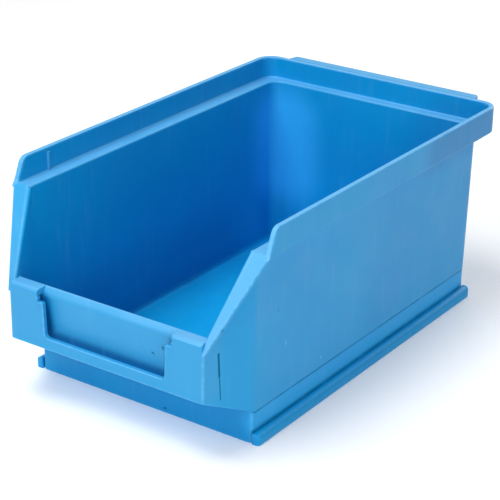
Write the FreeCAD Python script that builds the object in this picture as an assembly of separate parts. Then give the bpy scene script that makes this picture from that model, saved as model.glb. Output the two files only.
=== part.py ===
"""Stackable open-fronted storage bin, injection moulded in polypropylene.

Millimetres, +Z up. The origin is on the ground under the middle of the bin, the label front faces -Y and the
hanging lip is at +Y. The real bin is one moulding: each node is one region of it, and neighbours meet face
to face.
"""

import FreeCAD, Part
import math
import os

Vec = FreeCAD.Vector

# Overall sizes
OVERALL_LENGTH = 248.0
RIM_HALF = 75.0
RIM_Z = 111.4
LEDGE_Z = 99.6
FRONT_Y = -OVERALL_LENGTH / 2
BACK_Y = OVERALL_LENGTH / 2

# Rim: an upstand round three sides, on a ledge that the foot of another bin sits on
HOOK_DEPTH = 6.2
RIM_BACK_Y = BACK_Y - HOOK_DEPTH
RIM_THICK = 2.8
RIM_CORNER_R = 10.0
RIM_FRONT_Y = -98.6
RIM_FRONT_LEAN = 0.44
RIM_FRONT_R = 5.0
RIM_ROOT_R = 0.8
RIM_EDGE_R = 0.6
RIM_UNDER_R = 0.8
LEDGE_THICK = 2.2
LEDGE_BOTTOM_Z = LEDGE_Z - LEDGE_THICK

# Walls: half width and back face at the foot line and at the ledge, so that the moulding has draft
FOOT_LINE_Z = 17.9
WALL_HALF_LOW, WALL_HALF_TOP = 66.3, 67.0
WALL_BACK_LOW, WALL_BACK_TOP = 110.8, 112.8
WALL_CORNER_R = 9.0
FLOOR_Z = 4.0
CAVITY_HALF_LOW, CAVITY_HALF_TOP = 62.0, 64.4
CAVITY_BACK_LOW, CAVITY_BACK_TOP = 107.9, 110.3
CAVITY_CORNER_R = 6.5
FLOOR_FILLET_R = 3.5
MOUTH_EDGE_R = 1.3
WALL_FOOT_R = 0.8

# Nose: the front end, where the sides draw in and the floor climbs to the label front
CREASE_Y = -97.0
CREASE_R = 12.0
NOSE_HALF = 57.2
NOSE_CORNER_R = 2.5
NOSE_TAPER = (WALL_HALF_LOW - NOSE_HALF) / (CREASE_Y - FRONT_Y)
CORNER_TOP_Z = 56.0
FLANGE_END_HALF = 58.0
FLANGE_EDGE_R = 0.6
NOSE_BOTTOM_Z = 31.3
RAMP_THICK = 2.5

# Foot: the recessed plinth under the walls, with a skid bead along each side
FOOT_HALF = 64.2
FOOT_FRONT_Y = -95.0
FOOT_BACK_Y = 110.0
FOOT_CORNER_R = 3.0
FOOT_WALL = 2.4
FLOOR_UNDER_Z = 1.2
FOOT_EDGE_R = 0.6
SKID_OUT = 4.4
SKID_HEIGHT = 5.8
SKID_UNDER_R = 0.8
SKID_TOP_R = 3.2
SKID_END_R = 2.4

# Label front: a lip, and a frame that stands off the front wall so that a card fits behind it
LIP_TOP_Z = 61.2
LIP_FRONT_R, LIP_BACK_R = 2.0, 0.8
FRAME_EDGE_R = 0.5
FRAME_THICK = 2.2
POCKET_TOP_Z = 57.5
POCKET_HALF = 55.2
SHOULDER_HALF = 56.6
FRONT_WALL_TOP_Y = -119.6
FRONT_WALL_LEAN = 0.1
FRONT_WALL_THICK = 3.4
WINDOW_HALF_LOW, WINDOW_HALF_TOP = 35.5, 36.3
WINDOW_BOTTOM_Z = 37.2
WINDOW_TOP_Z = 54.5
WINDOW_CORNER_R = 2.5
NOTCH_HALF = 40.0
CROWN_HALF = 39.4
CROWN_DROP = 6.0
CROWN_DEPTH = 2.4

# Hook along the back of the rim, which catches on a slotted wall panel
HOOK_HALF = 59.5
HOOK_DRAFT = 1.0
HOOK_THICK = 1.9
HOOK_DROP = 12.0
HOOK_END_R = 1.5

# Stops on the inside of the rim, which keep a stacked bin from sliding forward
STOP_Y = -76.0
STOP_WIDTH = 1.8
STOP_OUT = 0.7
STOP_TOP_GAP = 2.4

# Where neighbouring regions meet
POST_HALF = 57.8
POST_Y = 103.6
FOOT_SIDE_HALF = 58.5
FOOT_ENDS_IN = 5.9
FRONT_WALL_HALF = 53.5

# Past everything, on a plane or edge, and clear of one
FAR = 300.0
NEAR = 0.01
CLEAR = 1.0


def in_plan(z):
    return lambda x, y: Vec(x, y, z)


def in_side(x):
    return lambda y, z: Vec(x, y, z)


def in_front(y):
    return lambda x, z: Vec(x, y, z)


def outline(corners, place):
    """A closed outline of (a, b, radius) corners, where radius 0 is sharp. place puts a point in space."""
    points = [place(a, b) for a, b, _ in corners]
    count = len(corners)
    starts, ends, arcs = [], [], []
    for i, (_, _, radius) in enumerate(corners):
        back = (points[i - 1] - points[i]).normalize()
        forth = (points[(i + 1) % count] - points[i]).normalize()
        half = back.getAngle(forth) / 2
        run = radius / math.tan(half)
        middle = points[i] + (back + forth).normalize() * (radius / math.sin(half) - radius)
        starts.append(points[i] + back * run)
        ends.append(points[i] + forth * run)
        arcs.append(Part.Arc(starts[i], middle, ends[i]).toShape() if radius else None)
    edges = []
    for i in range(count):
        if arcs[i]:
            edges.append(arcs[i])
        edges.append(Part.makeLine(ends[i], starts[(i + 1) % count]))
    return Part.Wire(edges)


def plate(corners, place, push):
    """A flat outline pushed along a vector into a solid."""
    return Part.Face(outline(corners, place)).extrude(push)


def prism_x(corners, half):
    """One outline in the side view, through from -half to half."""
    sharp = [(y, z, 0) for y, z in corners]
    return plate(sharp, in_side(-half), Vec(2 * half, 0, 0))


def box(x0, x1, y0, y1, z0, z1):
    return Part.makeBox(x1 - x0, y1 - y0, z1 - z0, Vec(x0, y0, z0))


def middle_of(edge):
    return edge.valueAt((edge.FirstParameter + edge.LastParameter) / 2)


def round_edges(solid, radius, wanted):
    """Fillets the edges whose middle point passes the test."""
    return solid.makeFillet(radius, [edge for edge in solid.Edges if wanted(middle_of(edge))])


def mirrored(shape):
    return shape.mirror(Vec(0, 0, 0), Vec(1, 0, 0))


def drafted(low, top, z, z_low, z_top):
    return low + (top - low) * (z - z_low) / (z_top - z_low)


def slope_y(z):
    """How far forward the sloped side edge is at height z."""
    return drafted(FRONT_Y, RIM_FRONT_Y, z, CORNER_TOP_Z, LEDGE_Z)


def into_slope():
    """Unit vector from the sloped side edge straight into the wall under it."""
    return Vec(0, LEDGE_Z - CORNER_TOP_Z, FRONT_Y - RIM_FRONT_Y).normalize()


def under_z(y):
    """Height of the underside of the nose at y."""
    return drafted(NOSE_BOTTOM_Z, FOOT_LINE_Z, y, FRONT_Y, FOOT_FRONT_Y)


def ramp_z(y):
    """Height of the top of the ramp at y."""
    return under_z(y) + RAMP_THICK * math.hypot(1, under_z(0) - under_z(1))


def front_wall_y(z):
    """Outer face of the front wall at height z."""
    return FRONT_WALL_TOP_Y + FRONT_WALL_LEAN * (POCKET_TOP_Z - z)


def symmetric(right):
    """Corners of the right half, followed by their mirror images."""
    return right + [(-a, b, radius) for a, b, radius in reversed(right)]


def body_outline(z):
    """Outside of the walls and nose in plan."""
    half = drafted(WALL_HALF_LOW, WALL_HALF_TOP, z, FOOT_LINE_Z, LEDGE_Z)
    back = drafted(WALL_BACK_LOW, WALL_BACK_TOP, z, FOOT_LINE_Z, LEDGE_Z)
    right = [(NOSE_HALF, FRONT_Y, NOSE_CORNER_R), (half, CREASE_Y, CREASE_R), (half, back, WALL_CORNER_R)]
    return outline(symmetric(right), in_plan(z))


def rim_front_y(z):
    """Front end of the rim at height z."""
    return RIM_FRONT_Y + RIM_FRONT_LEAN * (z - LEDGE_Z)


def kept_in_side_view():
    """Side view of the bin: the sloped front edge, and the rim's leaning front end with its rounded top."""
    front = [(slope_y(0), 0, 0), (RIM_FRONT_Y, LEDGE_Z, 0), (rim_front_y(RIM_Z), RIM_Z, RIM_FRONT_R)]
    return plate(front + [(FAR, RIM_Z, 0), (FAR, 0, 0)], in_side(-FAR), Vec(2 * FAR, 0, 0))


def walls():
    """Outside of the walls and nose above the foot line, up to the ledge."""
    body = Part.makeLoft([body_outline(FOOT_LINE_Z), body_outline(LEDGE_Z)], True, True)
    body = body.cut(prism_x([(FOOT_FRONT_Y, FOOT_LINE_Z), (-FAR, under_z(-FAR)), (-FAR, 0)], FAR))
    body = round_edges(body, WALL_FOOT_R, lambda m: on_lower_outline(m) and m.y > FOOT_FRONT_Y + CLEAR)
    return round_edges(body, WALL_FOOT_R, lambda m: on_lower_outline(m) and m.y < FOOT_FRONT_Y - CLEAR)


def on_lower_outline(m):
    return m.z < max(FOOT_LINE_Z, under_z(m.y)) + 2 * NEAR


def inside_half(z):
    return drafted(CAVITY_HALF_LOW, CAVITY_HALF_TOP, z, FLOOR_Z, LEDGE_Z)


def inside(front_at, front_radius):
    """The space between the walls above the floor, as far forward as front_at(z)."""
    def section(z):
        half, front = inside_half(z), front_at(z)
        back = drafted(CAVITY_BACK_LOW, CAVITY_BACK_TOP, z, FLOOR_Z, LEDGE_Z)
        nose_half = half - NOSE_TAPER * (CREASE_Y - front)
        right = [(nose_half, front, front_radius), (half, CREASE_Y, CREASE_R), (half, back, CAVITY_CORNER_R)]
        return outline(symmetric(right), in_plan(z))

    space = Part.makeLoft([section(FLOOR_Z), section(RIM_Z)], True, True)
    foot_inner = FOOT_FRONT_Y + FOOT_WALL
    below = [(foot_inner, 0), (foot_inner, ramp_z(foot_inner)), (-FAR, ramp_z(-FAR)), (-FAR, 0)]
    return round_edges(space.cut(prism_x(below, FAR)), FLOOR_FILLET_R, lambda m: abs(m.z - FLOOR_Z) < NEAR)


def cavity():
    return inside(lambda z: front_wall_y(z) + FRONT_WALL_THICK, NOSE_CORNER_R)


def open_cavity():
    """The cavity with its sides carried straight on through the front wall."""
    return inside(lambda z: FRONT_Y - FRAME_THICK, 0)


def rim_outline(inset, z):
    """The rim in plan. It runs past the front, where the side view trims it."""
    half, back = RIM_HALF - inset, RIM_BACK_Y - inset
    return outline(symmetric([(half, FRONT_Y, 0), (half, back, RIM_CORNER_R - inset)]), in_plan(z))


def ledge():
    """The flat ledge round the top of the walls, rounded under its outer edge."""
    slab = Part.Face(rim_outline(0, LEDGE_BOTTOM_Z)).extrude(Vec(0, 0, LEDGE_THICK))
    slab = round_edges(slab, RIM_UNDER_R, lambda m: m.z < LEDGE_BOTTOM_Z + NEAR and m.y > FRONT_Y + CLEAR)
    return slab.common(kept_in_side_view())


def upstand():
    """The wall that stands on the ledge, with a rounded root and rounded edges."""
    slab = Part.Face(rim_outline(0, LEDGE_BOTTOM_Z)).extrude(Vec(0, 0, RIM_Z - LEDGE_BOTTOM_Z))
    hollow = Part.Face(rim_outline(RIM_THICK, LEDGE_Z)).extrude(Vec(0, 0, RIM_Z - LEDGE_Z))
    solid = slab.cut(hollow)
    solid = round_edges(solid, RIM_ROOT_R, lambda m: abs(m.z - LEDGE_Z) < NEAR and m.y > FRONT_Y + CLEAR)
    solid = solid.common(kept_in_side_view()).common(box(-FAR, FAR, -FAR, FAR, LEDGE_Z, FAR))
    return round_edges(solid, RIM_EDGE_R, is_upstand_edge)


def is_upstand_edge(m):
    """On the outline of the upstand's top, or on the front end's two side edges."""
    on_side = min(abs(abs(m.x) - RIM_HALF), abs(abs(m.x) - RIM_HALF + RIM_THICK)) < NEAR
    on_top = abs(m.z - RIM_Z) < NEAR and (on_side or m.y > 0)
    on_front = on_side and m.y < rim_front_y(RIM_Z) + RIM_FRONT_R
    return on_top or on_front and m.z > LEDGE_Z + CLEAR


def flange():
    """The ledge carried on down the right sloped edge, where it narrows to nothing at the front corner."""
    top_inner, top_outer = Vec(CAVITY_HALF_LOW, RIM_FRONT_Y, LEDGE_Z), Vec(RIM_HALF, RIM_FRONT_Y, LEDGE_Z)
    low_inner = Vec(SHOULDER_HALF, FRONT_Y, CORNER_TOP_Z)
    low_outer = Vec(FLANGE_END_HALF, FRONT_Y, CORNER_TOP_Z)
    face = Part.Face(Part.makePolygon([top_inner, top_outer, low_outer, low_inner, top_inner]))
    outer_middle = (top_outer + low_outer) / 2
    return round_edges(face.extrude(into_slope() * LEDGE_THICK), FLANGE_EDGE_R,
                       lambda m: m.distanceToPoint(outer_middle) < CLEAR)


def foot():
    """The plinth with its rim on the ground, and the floor panel raised off the ground inside it."""
    def ring(inset, z):
        half = FOOT_HALF - inset
        right = [(half, FOOT_FRONT_Y + inset, FOOT_CORNER_R), (half, FOOT_BACK_Y - inset, FOOT_CORNER_R)]
        return Part.Face(outline(symmetric(right), in_plan(z)))

    solid = round_edges(ring(0, 0).extrude(Vec(0, 0, FOOT_LINE_Z)), FOOT_EDGE_R, lambda m: m.z < NEAR)
    return solid.cut(ring(FOOT_WALL, 0).extrude(Vec(0, 0, FLOOR_UNDER_Z)))


def slope_rounding():
    """What is cut off the inner edge of the right sloped edge to round it like the mouth of the ledge."""
    def on_edge(z):
        return Vec(inside_half(z) - NOSE_TAPER * (CREASE_Y - slope_y(z)), slope_y(z), z)

    low, high = on_edge(LIP_TOP_Z - MOUTH_EDGE_R), on_edge(LEDGE_Z)
    along = high - low
    draft = inside_half(1) - inside_half(0)
    into_wall = Vec(1, -NOSE_TAPER, -draft).normalize()
    into_edge = into_slope()
    centre = low + (into_wall + into_edge) * (MOUTH_EDGE_R / (1 + into_wall.dot(into_edge)))
    touch_wall, touch_edge = centre - into_wall * MOUTH_EDGE_R, centre - into_edge * MOUTH_EDGE_R
    corners = [low - into_wall - into_edge, touch_wall, centre, touch_edge]
    wedge = Part.Face(Part.makePolygon(corners + corners[:1])).extrude(along)
    return wedge.cut(Part.makeCylinder(MOUTH_EDGE_R, along.Length, centre, along))


def label_pocket():
    """The slot behind the label frame, open underneath, and the window with its notched top corners."""
    back_of_frame = FRONT_Y + FRAME_THICK
    slot = prism_x([(back_of_frame, POCKET_TOP_Z), (FRONT_WALL_TOP_Y, POCKET_TOP_Z),
                    (front_wall_y(0), 0), (back_of_frame, 0)], POCKET_HALF)
    right = [(WINDOW_HALF_LOW, WINDOW_BOTTOM_Z, WINDOW_CORNER_R), (WINDOW_HALF_TOP, WINDOW_TOP_Z, 0),
             (NOTCH_HALF, POCKET_TOP_Z, 0), (CROWN_HALF, LIP_TOP_Z, 0), (CROWN_HALF, RIM_Z, 0)]
    window = plate(symmetric(right), in_front(FRONT_Y), Vec(0, FRONT_WALL_TOP_Y - FRONT_Y, 0))
    return slot.fuse(window)


def above_crown():
    """Rounds the top of the front wall between the label cheeks."""
    place = in_side(-CROWN_HALF)
    base, crest_y = LIP_TOP_Z - CROWN_DROP, FRONT_WALL_TOP_Y + CROWN_DEPTH
    crest, foot_of_curve = place(crest_y, LIP_TOP_Z), place(FRONT_WALL_TOP_Y, base)
    curve = Part.Arc(Part.Ellipse(crest, foot_of_curve, place(crest_y, base)), 0, math.pi / 2).toShape()
    rest = Part.makePolygon([foot_of_curve, place(FRONT_Y, base), place(FRONT_Y, LIP_TOP_Z), crest])
    return Part.Face(Part.Wire([curve, *rest.Edges])).extrude(Vec(2 * CROWN_HALF, 0, 0))


def nose_front():
    """The front wall with its lip and label frame, standing between the nose sides."""
    block = walls().common(box(-RIM_HALF, RIM_HALF, -FAR, CREASE_Y, 0, LIP_TOP_Z))
    block = block.cut(cavity())
    corners = box(SHOULDER_HALF, RIM_HALF, -FAR, FAR, 0, FAR)
    outside = corners.fuse(mirrored(corners)).cut(kept_in_side_view())
    block = block.cut(outside)
    block = round_edges(block, LIP_FRONT_R, lambda m: is_lip_edge(m) and m.y < FRONT_Y + CLEAR)
    block = round_edges(block, LIP_BACK_R, lambda m: is_lip_edge(m) and m.y > FRONT_Y + CLEAR)
    block = block.cut(above_crown()).cut(label_pocket())
    return round_edges(block, FRAME_EDGE_R, is_window_edge)


def is_lip_edge(m):
    return abs(m.x) < CLEAR and abs(m.z - LIP_TOP_Z) < NEAR


def is_window_edge(m):
    return abs(m.y - FRONT_Y) < NEAR and abs(m.x) < CROWN_HALF + 2 * CLEAR and m.z > WINDOW_BOTTOM_Z - NEAR


def moulding():
    """The whole bin up to the ledge, but for the skids."""
    body = walls().common(kept_in_side_view())
    body = body.fuse([ledge(), flange(), mirrored(flange()), foot()]).cut(open_cavity()).removeSplitter()
    body = body.cut(slope_rounding()).cut(mirrored(slope_rounding()))
    body = round_edges(body, MOUTH_EDGE_R, is_mouth_edge)
    body = body.fuse(nose_front()).cut(above_crown()).cut(label_pocket())
    return body.removeSplitter()


def is_mouth_edge(m):
    in_mouth = abs(m.x) < CAVITY_HALF_TOP + NEAR and RIM_FRONT_Y + NEAR < m.y < CAVITY_BACK_TOP + NEAR
    return in_mouth and abs(m.z - LEDGE_Z) < NEAR


def skid():
    """The right skid bead: flat under, rounded outside and at its ends."""
    inner, outer = FOOT_HALF, FOOT_HALF + SKID_OUT
    front, back = FOOT_FRONT_Y, FOOT_BACK_Y
    rounded = [(outer, 0, SKID_UNDER_R), (outer, SKID_HEIGHT, SKID_TOP_R)]
    section = [(inner, 0, 0), *rounded, (inner, SKID_HEIGHT, 0)]
    bar = plate(section, in_front(front), Vec(0, back - front, 0))
    plan = [(0, front, 0), (outer, front, SKID_END_R), (outer, back, SKID_END_R), (0, back, 0)]
    return bar.common(plate(plan, in_plan(0), Vec(0, 0, SKID_HEIGHT)))


def hook():
    """A strip level with the top of the rim, and the tongue that it turns down into."""
    right = [(HOOK_HALF, RIM_BACK_Y, 0), (HOOK_HALF - HOOK_DRAFT, BACK_Y, HOOK_END_R)]
    plan = plate(symmetric(right), in_plan(0), Vec(0, 0, RIM_Z))
    tongue_y, strip_z = BACK_Y - HOOK_THICK, RIM_Z - HOOK_THICK
    strip = plan.common(box(-HOOK_HALF, HOOK_HALF, RIM_BACK_Y, BACK_Y, strip_z, RIM_Z))
    strip = round_edges(strip, RIM_EDGE_R, lambda m: m.z > RIM_Z - NEAR and m.y > BACK_Y - NEAR)
    return strip, plan.common(box(-HOOK_HALF, HOOK_HALF, tongue_y, BACK_Y, RIM_Z - HOOK_DROP, strip_z))


def stop():
    """A small upright rib on the inside of the right rim."""
    inner, half = RIM_HALF - RIM_THICK, STOP_WIDTH / 2
    return box(inner - STOP_OUT, inner, STOP_Y - half, STOP_Y + half, LEDGE_Z, RIM_Z - STOP_TOP_GAP)


def flange_layer():
    """The layer, as thick as the ledge, under the sloped edge."""
    low_z = CORNER_TOP_Z - LEDGE_THICK
    corners = [in_side(-FAR)(slope_y(LEDGE_Z), LEDGE_Z), in_side(-FAR)(slope_y(low_z), low_z)]
    far = [corner + Vec(2 * FAR, 0, 0) for corner in reversed(corners)]
    return Part.Face(Part.makePolygon(corners + far + corners[:1])).extrude(into_slope() * LEDGE_THICK)


def sides(name, space):
    """The same region on the right and, mirrored, on the left."""
    return [(name + "_right", space), (name + "_left", mirrored(space))]


def across(y0, y1, z0, z1, half=FAR):
    return box(-half, half, y0, y1, z0, z1)


def regions():
    """Names and spaces of the moulding's regions, in the order in which they are taken out of it."""
    nose_y = slope_y(LEDGE_BOTTOM_Z) + LEDGE_THICK * math.hypot(1, slope_y(1) - slope_y(0))
    frame_back = FRONT_Y + FRAME_THICK
    foot_front, foot_back = FOOT_FRONT_Y + FOOT_ENDS_IN, FOOT_BACK_Y - FOOT_ENDS_IN
    foot_inner, ramp_front = FOOT_FRONT_Y + FOOT_WALL, front_wall_y(NOSE_BOTTOM_Z)
    ledge_space = box(SHOULDER_HALF, FAR, -FAR, POST_Y, LEDGE_BOTTOM_Z, FAR)
    ledge_space = ledge_space.fuse(box(CAVITY_HALF_TOP, FAR, POST_Y, FAR, LEDGE_BOTTOM_Z, FAR))
    ramp_space = prism_x([(ramp_front, 0), (foot_inner, 0), (foot_inner, ramp_z(foot_inner)),
                          (ramp_front, ramp_z(ramp_front))], FAR)
    rim_side, rim_end = RIM_HALF - RIM_CORNER_R, RIM_BACK_Y - RIM_CORNER_R
    return [
        *sides("rim", box(rim_side, FAR, -FAR, rim_end, LEDGE_Z, FAR)),
        *sides("rim_corner", box(rim_side, FAR, rim_end, FAR, LEDGE_Z, FAR)),
        ("rim_back", across(rim_end, FAR, LEDGE_Z, FAR, rim_side)),
        ("foot_front", across(-FAR, foot_front, 0, FOOT_LINE_Z)),
        ("foot_back", across(foot_back, FAR, 0, FOOT_LINE_Z)),
        *sides("foot", box(FOOT_SIDE_HALF, FAR, -FAR, FAR, 0, FOOT_LINE_Z)),
        ("floor_panel", across(-FAR, FAR, 0, FOOT_LINE_Z)),
        ("ledge_back", across(CAVITY_BACK_LOW, FAR, LEDGE_BOTTOM_Z, FAR)),
        *sides("ledge", ledge_space),
        *sides("edge_flange", flange_layer().common(box(SHOULDER_HALF, FAR, -FAR, FAR, 0, FAR))),
        ("front_lip", across(-FAR, CREASE_Y, POCKET_TOP_Z, FAR, CROWN_HALF)),
        *sides("label_shoulder", box(CROWN_HALF, SHOULDER_HALF, -FAR, CREASE_Y, POCKET_TOP_Z, FAR)),
        ("label_bar", across(-FAR, frame_back, 0, WINDOW_BOTTOM_Z, SHOULDER_HALF)),
        *sides("label_cheek", box(0, SHOULDER_HALF, -FAR, frame_back, 0, FAR)),
        ("front_ramp", ramp_space),
        ("front_wall", across(-FAR, CREASE_Y, 0, FAR, FRONT_WALL_HALF)),
        *sides("nose_wall", box(0, FAR, -FAR, nose_y, 0, FAR)),
        *sides("side_wall", box(0, FAR, -FAR, POST_Y, 0, FAR)),
        *sides("rear_corner", box(POST_HALF, FAR, -FAR, FAR, 0, FAR)),
        ("back_wall", across(-FAR, FAR, 0, FAR)),
    ]


def nodes():
    """Every node: the regions of the moulding, and the small parts that stand on it."""
    found, rest = {}, moulding().fuse(upstand())
    for name, space in regions():
        found[name] = rest.common(space)
        rest = rest.cut(space)
    found["skid_right"] = skid().cut(found["foot_right"]).cut(found["foot_front"]).cut(found["foot_back"])
    found["stop_right"] = stop().cut(found["rim_right"])
    found["skid_left"], found["stop_left"] = mirrored(found["skid_right"]), mirrored(found["stop_right"])
    found["hanging_lip_strip"], found["hanging_lip_tongue"] = hook()
    return found


if __name__ == "__main__":
    os.makedirs("parts", exist_ok=True)
    for node, shape in nodes().items():
        shape.exportStep("parts/" + node + ".step")
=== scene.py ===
"""Looks of the blue stackable storage bin: worn polypropylene, a pale floor and soft studio light."""

import math

import bpy
from mathutils import Matrix, Vector


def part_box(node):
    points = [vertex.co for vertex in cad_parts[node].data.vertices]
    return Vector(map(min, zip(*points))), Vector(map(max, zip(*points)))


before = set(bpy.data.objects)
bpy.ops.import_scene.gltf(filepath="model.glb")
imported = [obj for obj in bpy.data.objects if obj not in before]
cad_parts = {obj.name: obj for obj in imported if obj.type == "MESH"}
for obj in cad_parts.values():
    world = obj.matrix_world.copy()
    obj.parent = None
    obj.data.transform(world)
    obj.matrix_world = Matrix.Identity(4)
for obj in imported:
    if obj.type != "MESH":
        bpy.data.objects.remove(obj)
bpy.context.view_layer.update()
scene = bpy.context.scene
scene.view_settings.view_transform = "Standard"

MM = 0.001
STROKE_CORE = 0.25  # part of a stroke's width that has its full strength


# Node helpers: each returns the output socket of a new node

class Tree:
    """A material's or world's node tree, with short names for the nodes used here."""

    def __init__(self, owner):
        owner.use_nodes = True
        self.tree = owner.node_tree
        self.tree.nodes.clear()

    def node(self, kind, **settings):
        made = self.tree.nodes.new(kind)
        for name, value in settings.items():
            setattr(made, name, value)
        return made

    def feed(self, socket, value):
        """Sets an input to a number, a colour or another node's output."""
        if isinstance(value, bpy.types.NodeSocket):
            self.tree.links.new(value, socket)
        else:
            socket.default_value = value

    def math(self, operation, first, second=0.0):
        made = self.node("ShaderNodeMath", operation=operation)
        self.feed(made.inputs[0], first)
        self.feed(made.inputs[1], second)
        return made.outputs[0]

    def vector(self, operation, first, second=(0, 0, 0), scale=None):
        made = self.node("ShaderNodeVectorMath", operation=operation)
        self.feed(made.inputs[0], first)
        self.feed(made.inputs[1], second)
        if scale is not None:
            self.feed(made.inputs["Scale"], scale)
        return made.outputs["Value" if operation in ("DOT_PRODUCT", "DISTANCE") else "Vector"]

    def split(self, vector):
        """The x, y and z of a vector."""
        made = self.node("ShaderNodeSeparateXYZ")
        self.feed(made.inputs[0], vector)
        return made.outputs[:]

    def join(self, x, y, z):
        made = self.node("ShaderNodeCombineXYZ")
        for socket, value in zip(made.inputs, (x, y, z)):
            self.feed(socket, value)
        return made.outputs[0]

    def ramp(self, value, start, end, low=0.0, high=1.0):
        """Goes smoothly from low to high as value goes from start to end."""
        made = self.node("ShaderNodeMapRange", interpolation_type="SMOOTHSTEP")
        for socket, number in zip(made.inputs, (value, start, end, low, high)):
            self.feed(socket, number)
        return made.outputs[0]

    def noise(self, place, scale, detail=2.0, roughness=0.5, distortion=0.0):
        """Noise from 0 to 1, with scale features a metre."""
        made = self.node("ShaderNodeTexNoise")
        wanted = {"Vector": place, "Scale": scale, "Detail": detail, "Roughness": roughness,
                  "Distortion": distortion}
        for name, value in wanted.items():
            self.feed(made.inputs[name], value)
        return made.outputs[0]

    def mix(self, amount, first, second):
        made = self.node("ShaderNodeMix", data_type="RGBA")
        for socket, value in ((made.inputs[0], amount), (made.inputs[6], first), (made.inputs[7], second)):
            self.feed(socket, value)
        return made.outputs[2]

    def largest(self, values):
        found = values[0]
        for value in values[1:]:
            found = self.math("MAXIMUM", found, value)
        return found

    def stroke(self, place, start, end, width):
        """1 on the line from start to end, fading to 0 at width from it, all in mm."""
        start, end = Vector(start) * MM, Vector(end) * MM
        along = end - start
        offset = self.vector("SUBTRACT", place, tuple(start))
        run = self.vector("DOT_PRODUCT", offset, tuple(along / along.length_squared))
        run = self.math("MINIMUM", self.math("MAXIMUM", run, 0.0), 1.0)
        nearest = self.vector("SCALE", tuple(along), scale=run)
        return self.ramp(self.vector("DISTANCE", offset, nearest), width * MM, width * MM * STROKE_CORE)

    def strokes(self, place, rows):
        """The strongest of several strokes, each with its start, end, width and strength."""
        return self.largest([self.math("MULTIPLY", self.stroke(place, start, end, width), strength)
                             for start, end, width, strength in rows])


class Spot:
    """Sockets that say where a point of the surface is, in metres, and which way it faces."""

    def __init__(self, tree):
        self.place = tree.node("ShaderNodeTexCoord").outputs["Object"]
        self.normal = tree.node("ShaderNodeNewGeometry").outputs["Normal"]
        self.x, self.y, self.z = tree.split(self.place)
        self.up = tree.split(self.normal)[2]
        # Both sides carry the same wear, painted edge highlights and painted shade in the creases and the
        # label slot, so these are listed for the right one
        self.mirrored = tree.join(tree.math("ABSOLUTE", self.x), self.y, self.z)
        # A wall's inner face looks towards the middle of the bin
        outwards = tree.vector("DOT_PRODUCT", self.normal, tree.vector("MULTIPLY", self.place, (1, 1, 0)))
        self.inside = tree.ramp(outwards, -1.0 * MM, -8.0 * MM)


# Plastic

BLUE = (0.0, 0.320, 0.672, 1)
DEEP_BLUE = (0.010, 0.252, 0.640, 1)
FADED_BLUE = (0.022, 0.322, 0.655, 1)
WORN_AND_LIT_BLUE = (0.140, 0.480, 0.850, 1)
SCUFF_BLUE = (0.12, 0.44, 0.78, 1)
SHADE_BLUE = (0.0, 0.150, 0.430, 1)
PAINTED_LIGHT_BLUE = (0.030, 0.450, 0.920, 1)
LIT_FLOOR_BLUE = (0.005, 0.415, 0.840, 1)
CUT_AND_CREASE_SHADE_DARK = (0.0, 0.110, 0.250, 1)

SLOPE = Vector((0, -43.6, 25.4))  # the way that the sloped front edges face


def box_mm(name):
    low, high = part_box(name)
    return [value / MM for value in low], [value / MM for value in high]


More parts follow.
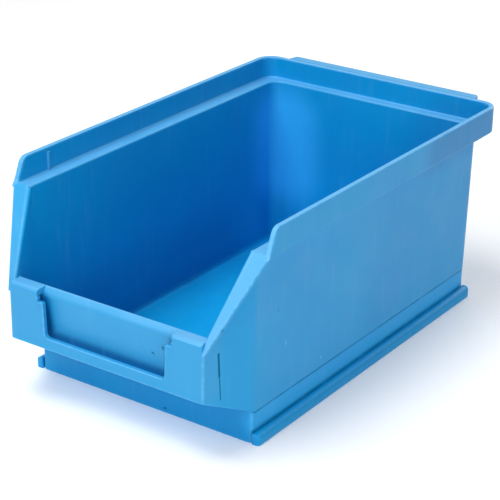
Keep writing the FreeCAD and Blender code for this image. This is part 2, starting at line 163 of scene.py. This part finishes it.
def worn_and_lit_edges():
    """The edges that hands, shelves and other bins rub, pale with wear and with a painted highlight along
    each rounded edge: start, end, width, strength, on the right, in mm.
    """
    (_, rim_front, ledge_z), (rim_out, _, rim_top) = box_mm("rim_right")
    (_, rim_back, _), (_, hook_back, _) = box_mm("hanging_lip_strip")
    (pocket, front, _), (_, _, lip_top) = box_mm("label_shoulder_right")
    (_, _, frame_low), (cheek, _, window_low) = box_mm("label_bar")
    _, (skid_out, skid_back, skid_top) = box_mm("skid_right")
    (foot_low, foot_front, _), (_, _, foot_line) = box_mm("foot_front")
    _, (wall, _, _) = box_mm("front_ramp")
    _, (_, lip_back, _) = box_mm("front_lip")
    foot_side = -foot_low
    top, side, end = rim_top - 0.2, rim_out - 1.4, rim_back - 1.4
    corner, corner_middle = 10.0, 3.9
    turn = (rim_out - corner_middle, rim_back - corner_middle, top)
    slope_low = (58.0, front, 56.0)
    skid_x, skid_z = skid_out - 1.4, skid_top - 0.8
    notch_foot, notch_step, notch_top = (36.3, front, 54.5), (40.0, front, 57.5), (37.2, front, lip_top)
    # Wear and painted edge highlights: each stroke lightens a rubbed edge and also stands in for the light
    # that the rounded edge catches
    return [
        ((side, rim_front + 6, top), (side, rim_back - corner, top), 1.9, 0.9),
        ((0, end, top), (rim_out - corner, end, top), 1.9, 0.9),
        ((rim_out - corner, end, top), turn, 1.9, 0.9),
        (turn, (side, rim_back - corner, top), 1.9, 0.9),
        ((side, rim_front + 0.4, ledge_z), (side, rim_front + 5.4, top - 1), 2.2, 0.7),
        ((rim_out, rim_front, ledge_z), slope_low, 1.1, 0.8),
        ((66.2, rim_front, ledge_z), (55.4, front + 1.2, 58.4), 1.0, 0.5),
        ((0, lip_back - 1.0, lip_top), (53.5, lip_back - 1.0, lip_top), 1.8, 0.95),
        ((pocket, front + 0.6, lip_top - 0.6), (cheek, front + 0.6, lip_top - 0.6), 1.5, 0.75),
        (notch_foot, (35.6, front, window_low + 1.5), 0.8, 0.7),
        (notch_foot, notch_step, 0.8, 0.7),
        (notch_step, notch_top, 0.8, 0.7),
        ((0, front, window_low), (34.0, front, window_low), 0.7, 0.7),
        ((0, front, frame_low + 1), (cheek, front, frame_low + 1), 0.8, 0.7),
        ((57.0, front + 0.4, frame_low + 0.6), (57.0, front + 0.4, 56.0), 1.2, 0.55),
        ((wall, foot_front, foot_line), (wall, skid_back - 4, foot_line), 0.7, 0.45),
        ((skid_out, foot_front + 2, 0.3), (skid_out, skid_back - 2, 0.3), 0.9, 0.5),
        ((skid_x, foot_front + 2, skid_z), (skid_x, skid_back - 2, skid_z), 1.2, 0.25),
        ((foot_side - 0.7, foot_front + 0.7, 0), (foot_side - 0.7, foot_front + 0.7, foot_line), 1.1, 0.5),
        ((0, foot_front, 0.3), (foot_side - 2, foot_front, 0.3), 0.9, 0.5),
        ((0, hook_back, top), (58.6, hook_back, top), 1.3, 0.8),
    ]


# Marks on single places: start, end, width, strength
CUTS_MM = [
    ((60.0, -115.9, 54.4), (60.2, -115.4, 43.0), 0.75, 1.0),
    ((60.2, -115.4, 43.0), (60.4, -114.6, 31.0), 0.45, 0.8),
    ((62.3, -116.7, 66.4), (62.5, -116.0, 66.9), 0.8, 0.7),
    ((66.7, -79.0, 64.6), (66.7, -79.0, 63.0), 0.5, 0.5),
    ((24.7, -118.4, 45.4), (25.3, -118.4, 45.2), 0.75, 0.9),
    ((31.0, -118.8, 50.2), (31.3, -118.8, 49.4), 0.7, 0.9),
    ((13.2, -95.0, 2.7), (13.9, -95.0, 2.6), 0.8, 0.9),
]
NICKS_AND_RIB_HIGHLIGHT_MM = [
    ((66.5, -71.7, 45.3), (66.5, -71.6, 43.0), 0.5, 0.8),
    ((66.4, -40.0, 23.8), (66.4, -40.0, 22.9), 0.6, 0.8),
    ((-20.2, -124.0, 36.6), (-19.2, -122.6, 38.2), 0.45, 0.8),
    # Painted highlight: the lit front face of the stop rib on the left upstand's inner face
    ((-70.9, -77.0, 100.4), (-70.9, -77.0, 109.2), 1.7, 0.8),
]

# Slow changes of colour that are painted light and painted shade, in the same form, on the inner and on the
# outer faces
# Painted light: a pool of light on the left part of the back wall, inside
LIT_INSIDE_MM = [((-55.0, 109.0, 76.0), (-53.0, 109.0, 48.0), 30.0, 0.95)]
# Painted light along the right foot's side, outside
LIT_OUTSIDE_MM = [((64.5, -92.0, 11.0), (64.5, 108.0, 11.0), 10.0, 0.45)]
# Painted shadow: low on the left inner wall, and on the right part of the back wall
SHADOW_INSIDE_MM = [
    ((-62.0, -60.0, 12.0), (-62.0, 50.0, 12.0), 42.0, 0.52),
    ((30.0, 109.0, 40.0), (64.0, 109.0, 84.0), 52.0, 0.34),
]
# Painted shade on the rim band and the right wall towards the back; the first row darkens the right front
# corner
SHADE_OUTSIDE_MM = [
    ((58.9, -119.2, 47.0), (58.7, -119.7, 42.0), 4.5, 0.22),
    ((75.0, 60.0, 104.0), (75.0, 118.0, 104.0), 30.0, 0.50),
    ((66.5, 30.0, 60.0), (66.5, 115.0, 60.0), 60.0, 0.16),
]


def wear_and_edge_highlights(tree, spot):
    """Where the edges are rubbed pale and carry painted edge highlights, in broken lines."""
    broken = tree.ramp(tree.noise(spot.place, 420, 5.0, 0.7), 0.38, 0.58, 0.30, 1.0)
    return tree.math("MULTIPLY", tree.strokes(spot.mirrored, worn_and_lit_edges()), broken)


def crease_shadow(tree, spot):
    """Painted shadow in the thin creases: under the walls along the foot, and along the tops of the skids.
    """
    _, (_, skid_back, skid_top) = box_mm("skid_right")
    (foot_low, foot_front, _), (_, _, foot_line) = box_mm("foot_front")
    start, line, groove = (-foot_low, foot_front + 1), foot_line - 1.5, skid_top + 0.4
    creases = [
        ((*start, line), (-foot_low, skid_back, line), 1.3, 0.85),
        ((*start, groove), (-foot_low, skid_back - 1, groove), 1.5, 0.55),
    ]
    broken = tree.ramp(tree.noise(spot.place, 120, 4.0, 0.6), 0.30, 0.60, 0.55, 1.0)
    return tree.math("MULTIPLY", tree.strokes(spot.mirrored, creases), broken)


def slot_shade(tree, spot):
    """Painted shade in the label slot, along the foot and the ends of the wall behind the frame."""
    _, (_, frame_back, window_low) = box_mm("label_bar")
    wall, foot = frame_back + 3.0, window_low - 3.0
    return tree.strokes(spot.mirrored, [
        ((0, wall + 1.2, foot), (37, wall + 1.2, foot), 6.0, 0.9),
        ((38.6, wall + 1.0, window_low), (39.2, wall, 54.0), 6.0, 0.9),
    ])


def bleached(tree, spot):
    """How far the label front has been bleached by daylight."""
    front = tree.ramp(spot.y, -111.0 * MM, -119.0 * MM)
    high = tree.ramp(spot.z, 26.0 * MM, 38.0 * MM)
    return tree.math("MULTIPLY", front, high)


def patches(tree, spot, inner_rows, outer_rows):
    """Patches of changed colour, each only on the faces that it belongs to."""
    inner = tree.math("MULTIPLY", tree.strokes(spot.place, inner_rows), spot.inside)
    outside = tree.math("SUBTRACT", 1.0, spot.inside)
    return tree.math("MAXIMUM", inner, tree.math("MULTIPLY", tree.strokes(spot.place, outer_rows), outside))


def pale_and_lit_faces(tree, spot):
    """The ledge, the top of the rim, the lip top and the sloped front edges: rubbed pale by bins stacked on
    them, and painted lighter as a highlight on the faces that look up and on those that look along the
    slope.
    """
    level = tree.ramp(spot.up, 0.45, 0.90)
    high = tree.ramp(spot.z, 97.5 * MM, 99.0 * MM)
    lip = tree.math("MULTIPLY", tree.ramp(spot.z, 59.6 * MM, 60.8 * MM),
                    tree.ramp(spot.y, -111.0 * MM, -115.0 * MM))
    rests = tree.math("MULTIPLY", level, tree.math("MAXIMUM", high, lip))
    sloped = tree.ramp(tree.vector("DOT_PRODUCT", spot.normal, tuple(SLOPE.normalized())), 0.93, 0.99)
    # Painted light: the sloped faces are lighter towards the right
    sloped = tree.math("MULTIPLY", sloped, tree.ramp(spot.x, -60.0 * MM, 60.0 * MM, 0.45, 1.0))
    mottled = tree.ramp(tree.noise(spot.place, 55, 3.0), 0.25, 0.75, 0.72, 1.0)
    return tree.math("MULTIPLY", tree.math("MAXIMUM", rests, sloped), mottled)


def lit_floor(tree, spot):
    """Painted light on the bin's floor, lighter where it faces up."""
    level = tree.ramp(spot.up, 0.6, 0.95)
    low = tree.ramp(spot.z, 9.0 * MM, 6.0 * MM)
    mottled = tree.ramp(tree.noise(spot.place, 40, 4.0, 0.6), 0.25, 0.75, 0.70, 1.0)
    return tree.math("MULTIPLY", tree.math("MULTIPLY", level, low), mottled)


def scuffing(tree, spot):
    """Fine scratches along the bin, in loose groups."""
    along = tree.vector("MULTIPLY", spot.place, (0.35, 0.25, 1.0))
    scratches = tree.ramp(tree.noise(along, 900, 4.0, 0.7, 0.4), 0.64, 0.76, 0.0, 0.22)
    return tree.math("MULTIPLY", scratches, tree.ramp(tree.noise(spot.place, 34, 2.0), 0.42, 0.62))


def relief(tree, spot, scuffs, cuts):
    """The surface's height in metres: slow sink marks, moulded grain, small dents, scratches and cuts."""
    height = tree.math("MULTIPLY", tree.noise(spot.place, 30, 1.0), 0.45 * MM)
    grain = tree.math("MULTIPLY", tree.noise(spot.place, 1500, 2.0, 0.6), 0.030 * MM)
    dents = tree.math("MULTIPLY", tree.noise(spot.place, 330, 3.0, 0.6), 0.045 * MM)
    height = tree.math("ADD", tree.math("ADD", height, grain), dents)
    height = tree.math("SUBTRACT", height, tree.math("MULTIPLY", cuts, 0.25 * MM))
    return tree.math("SUBTRACT", height, tree.math("MULTIPLY", scuffs, 0.05 * MM))


def plastic():
    """Satin blue polypropylene: mottled colour, painted light and shade, rubbed edges with painted edge
    highlights, scuffs, a few nicks, and a fine grain.
    """
    material = bpy.data.materials.new("blue_polypropylene")
    tree = Tree(material)
    out = tree.node("ShaderNodeOutputMaterial")
    shader = tree.node("ShaderNodeBsdfPrincipled")
    spot = Spot(tree)
    slot, scuffs, worn_and_lit = slot_shade(tree, spot), scuffing(tree, spot), wear_and_edge_highlights(tree, spot)
    cuts = tree.strokes(spot.place, CUTS_MM)
    cuts_and_crease_shadow = tree.math("MAXIMUM", cuts, crease_shadow(tree, spot))

    # Colour, from the moulding's own clouds and flow streaks, through painted light and shade, to what use
    # has left on it
    streaked = tree.vector("MULTIPLY", spot.place, (1.0, 1.0, 0.10))
    layers = [
        (tree.ramp(tree.noise(spot.place, 26, 3.0, 0.55, 0.6), 0.30, 0.72, 0.0, 0.32), DEEP_BLUE),
        (patches(tree, spot, LIT_INSIDE_MM, LIT_OUTSIDE_MM), PAINTED_LIGHT_BLUE),
        (patches(tree, spot, SHADOW_INSIDE_MM, SHADE_OUTSIDE_MM), SHADE_BLUE),
        (lit_floor(tree, spot), LIT_FLOOR_BLUE),
        (bleached(tree, spot), FADED_BLUE),
        (slot, SHADE_BLUE),
        (tree.ramp(tree.noise(streaked, 210, 3.0, 0.6), 0.52, 0.80, 0.0, 0.14), SCUFF_BLUE),
        (scuffs, SCUFF_BLUE),
        (tree.math("MULTIPLY", pale_and_lit_faces(tree, spot), 0.75), WORN_AND_LIT_BLUE),
        (worn_and_lit, WORN_AND_LIT_BLUE),
        (tree.math("MULTIPLY", cuts_and_crease_shadow, 0.9), CUT_AND_CREASE_SHADE_DARK),
        (tree.strokes(spot.place, NICKS_AND_RIB_HIGHLIGHT_MM), WORN_AND_LIT_BLUE),
    ]
    colour = BLUE
    for amount, other in layers:
        colour = tree.mix(amount, colour, other)
    tree.feed(shader.inputs["Base Color"], colour)

    # Gloss: satin, patchy, duller where it is rubbed, weak low down and gone in the cuts and the painted
    # crease and slot shade
    gloss = tree.ramp(tree.noise(spot.place, 48, 4.0, 0.6), 0.30, 0.70, 0.37, 0.47)
    rough = tree.math("ADD", gloss, tree.math("MULTIPLY", tree.math("ADD", worn_and_lit, scuffs), 0.12))
    tree.feed(shader.inputs["Roughness"], rough)
    shader.inputs["IOR"].default_value = 1.49
    sheen = tree.ramp(spot.z, 14.0 * MM, 20.0 * MM, 0.27, 0.37)
    clear_of_cuts_and_shade = tree.math("SUBTRACT", 1.0, tree.math("MAXIMUM", cuts_and_crease_shadow, slot))
    tree.feed(shader.inputs["Specular IOR Level"], tree.math("MULTIPLY", sheen, clear_of_cuts_and_shade))

    bump = tree.node("ShaderNodeBump")
    bump.inputs["Strength"].default_value = 1.0
    bump.inputs["Distance"].default_value = 1.0
    tree.feed(bump.inputs["Height"], relief(tree, spot, scuffs, cuts))
    tree.feed(shader.inputs["Normal"], bump.outputs[0])
    tree.feed(out.inputs[0], shader.outputs[0])
    return material


blue = plastic()
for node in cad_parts.values():
    node.data.materials.clear()
    node.data.materials.append(blue)


# Floor

FLOOR_HALF = 3.0
WHITE = (1, 1, 1, 1)
PAPER_WHITE = (0.93, 0.93, 0.93, 1)


def pale_floor(half):
    mesh = bpy.data.meshes.new("studio_floor")
    corners = [(-half, -half, 0), (half, -half, 0), (half, half, 0), (-half, half, 0)]
    mesh.from_pydata(corners, [], [(0, 1, 2, 3)])
    floor = bpy.data.objects.new("studio_floor", mesh)
    scene.collection.objects.link(floor)
    material = bpy.data.materials.new("studio_white")
    tree = Tree(material)
    shader = tree.node("ShaderNodeBsdfPrincipled")
    shader.inputs["Base Color"].default_value = PAPER_WHITE
    shader.inputs["Emission Color"].default_value = WHITE
    shader.inputs["Emission Strength"].default_value = 0.18
    shader.inputs["Roughness"].default_value = 0.9
    tree.feed(tree.node("ShaderNodeOutputMaterial").inputs[0], shader.outputs[0])
    mesh.materials.append(material)


pale_floor(FLOOR_HALF)


# Light

LIGHT_AIM = Vector((0, 0, 0.06))
LIGHT_RADIUS = 1.3
LIGHT_SIZE = 0.7
SKY_STRENGTH = 0.3
LIGHTS = [  # name, degrees round from the front towards the right, degrees up, watts
    ("over_left", -28, 69, 9.6),
    ("front", 0, 40, 5.0),
    ("low_right", 58, 12, 3.2),
    ("low_back", 180, 12, 5.6),
    ("back_left", -150, 40, 1.1),
]


def sky(strength):
    world = bpy.data.worlds.new("studio")
    scene.world = world
    tree = Tree(world)
    background = tree.node("ShaderNodeBackground")
    background.inputs["Color"].default_value = WHITE
    background.inputs["Strength"].default_value = strength
    tree.feed(tree.node("ShaderNodeOutputWorld").inputs[0], background.outputs[0])


def soft_light(name, round_degrees, up_degrees, watts):
    data = bpy.data.lights.new(name, "AREA")
    data.shape = "DISK"
    data.size = LIGHT_SIZE
    data.energy = watts
    lamp = bpy.data.objects.new(name, data)
    scene.collection.objects.link(lamp)
    turn, up = math.radians(round_degrees), math.radians(up_degrees)
    away = Vector((math.sin(turn) * math.cos(up), -math.cos(turn) * math.cos(up), math.sin(up)))
    lamp.location = LIGHT_AIM + away * LIGHT_RADIUS
    lamp.rotation_euler = away.to_track_quat("Z", "Y").to_euler()


sky(SKY_STRENGTH)
for light in LIGHTS:
    soft_light(*light)


# Camera: the photograph's own viewpoint, solved from the bin's long straight edges

SENSOR_MM, LENS_MM = 36.0, 121.2
CAMERA_PLACE = Vector((0.448976, -0.656554, 0.395159))
CAMERA_RIGHT = Vector((0.81988, 0.57238, 0.01318))
CAMERA_DOWN = Vector((0.23862, -0.32071, -0.91663))
CAMERA_AHEAD = Vector((-0.52043, 0.75467, -0.39953))


def photo_camera():
    data = bpy.data.cameras.new("camera")
    data.sensor_width = SENSOR_MM
    data.lens = LENS_MM
    camera = bpy.data.objects.new("camera", data)
    scene.collection.objects.link(camera)
    turn = Matrix((CAMERA_RIGHT, -CAMERA_DOWN, -CAMERA_AHEAD)).transposed().to_4x4()
    camera.matrix_world = Matrix.Translation(CAMERA_PLACE) @ turn
    scene.camera = camera


photo_camera()
